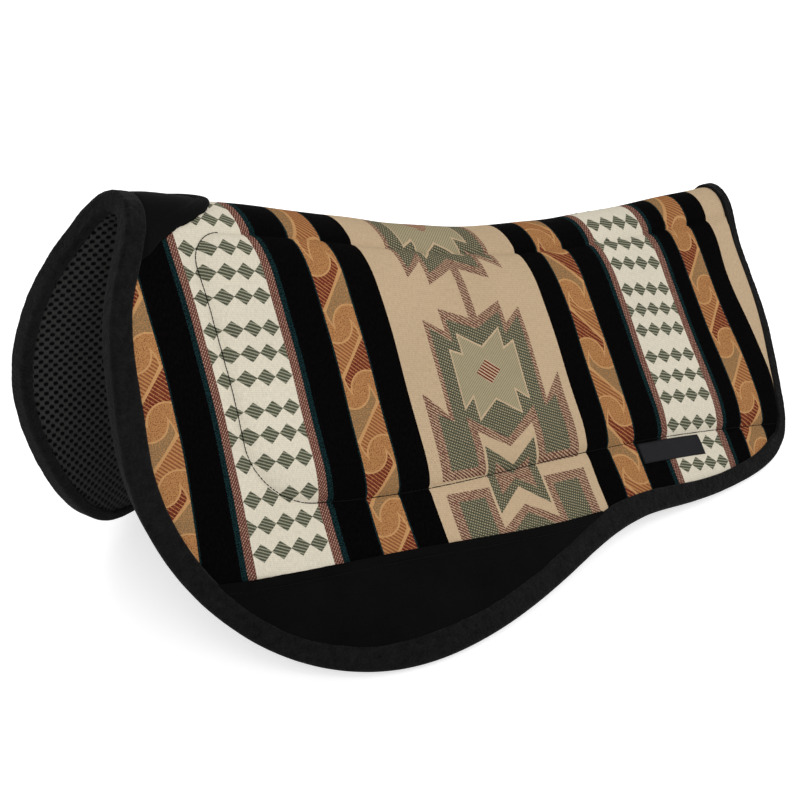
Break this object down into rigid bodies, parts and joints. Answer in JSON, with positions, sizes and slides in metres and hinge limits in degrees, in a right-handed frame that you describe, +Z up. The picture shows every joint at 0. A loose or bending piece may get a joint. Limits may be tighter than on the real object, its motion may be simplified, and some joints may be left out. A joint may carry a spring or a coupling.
{
  "type": "western saddle pad",
  "caption": "Contoured western saddle pad with a round skirt, bound edge, padded panels and suede wear leathers, draped as an arch for a horse's back.",
  "frame": {"origin": "centre of the bounding box's bottom, on the floor that the lobes stand on", "axes": "X runs along the spine with the withers end at -X and the tail end at +X, Y runs across with the near (left) flap at -Y and the off (right) flap at +Y, Z is up"},
  "size_m": [0.8004, 0.4504, 0.4308],
  "materials": {
    "woven_tapestry": "woven wool and cotton, matte",
    "fleece_tape": "short black fleece",
    "wither_suede": "black suede",
    "suede": "black suede",
    "label_cloth": "woven satin, bare",
    "felt": "pressed wool felt",
    "foam": "soft foam",
    "grip_mesh": "waffle grip mesh, matte",
    "thread": "sewing thread"
  },
  "bodies": {
    "root": {"top_cover": "woven_tapestry", "edge_binding": "fleece_tape", "wither_patch": "wither_suede", "wear_leather_near": "suede", "wear_leather_off": "suede", "label": "label_cloth", "felt_core": "felt", "foam_insert_near": "foam", "foam_insert_off": "foam", "grip_lining": "grip_mesh", "quilting_thread_near": "thread", "quilting_thread_off": "thread", "leather_thread_near": "thread", "leather_thread_off": "thread"}
  },
  "joints": []
}
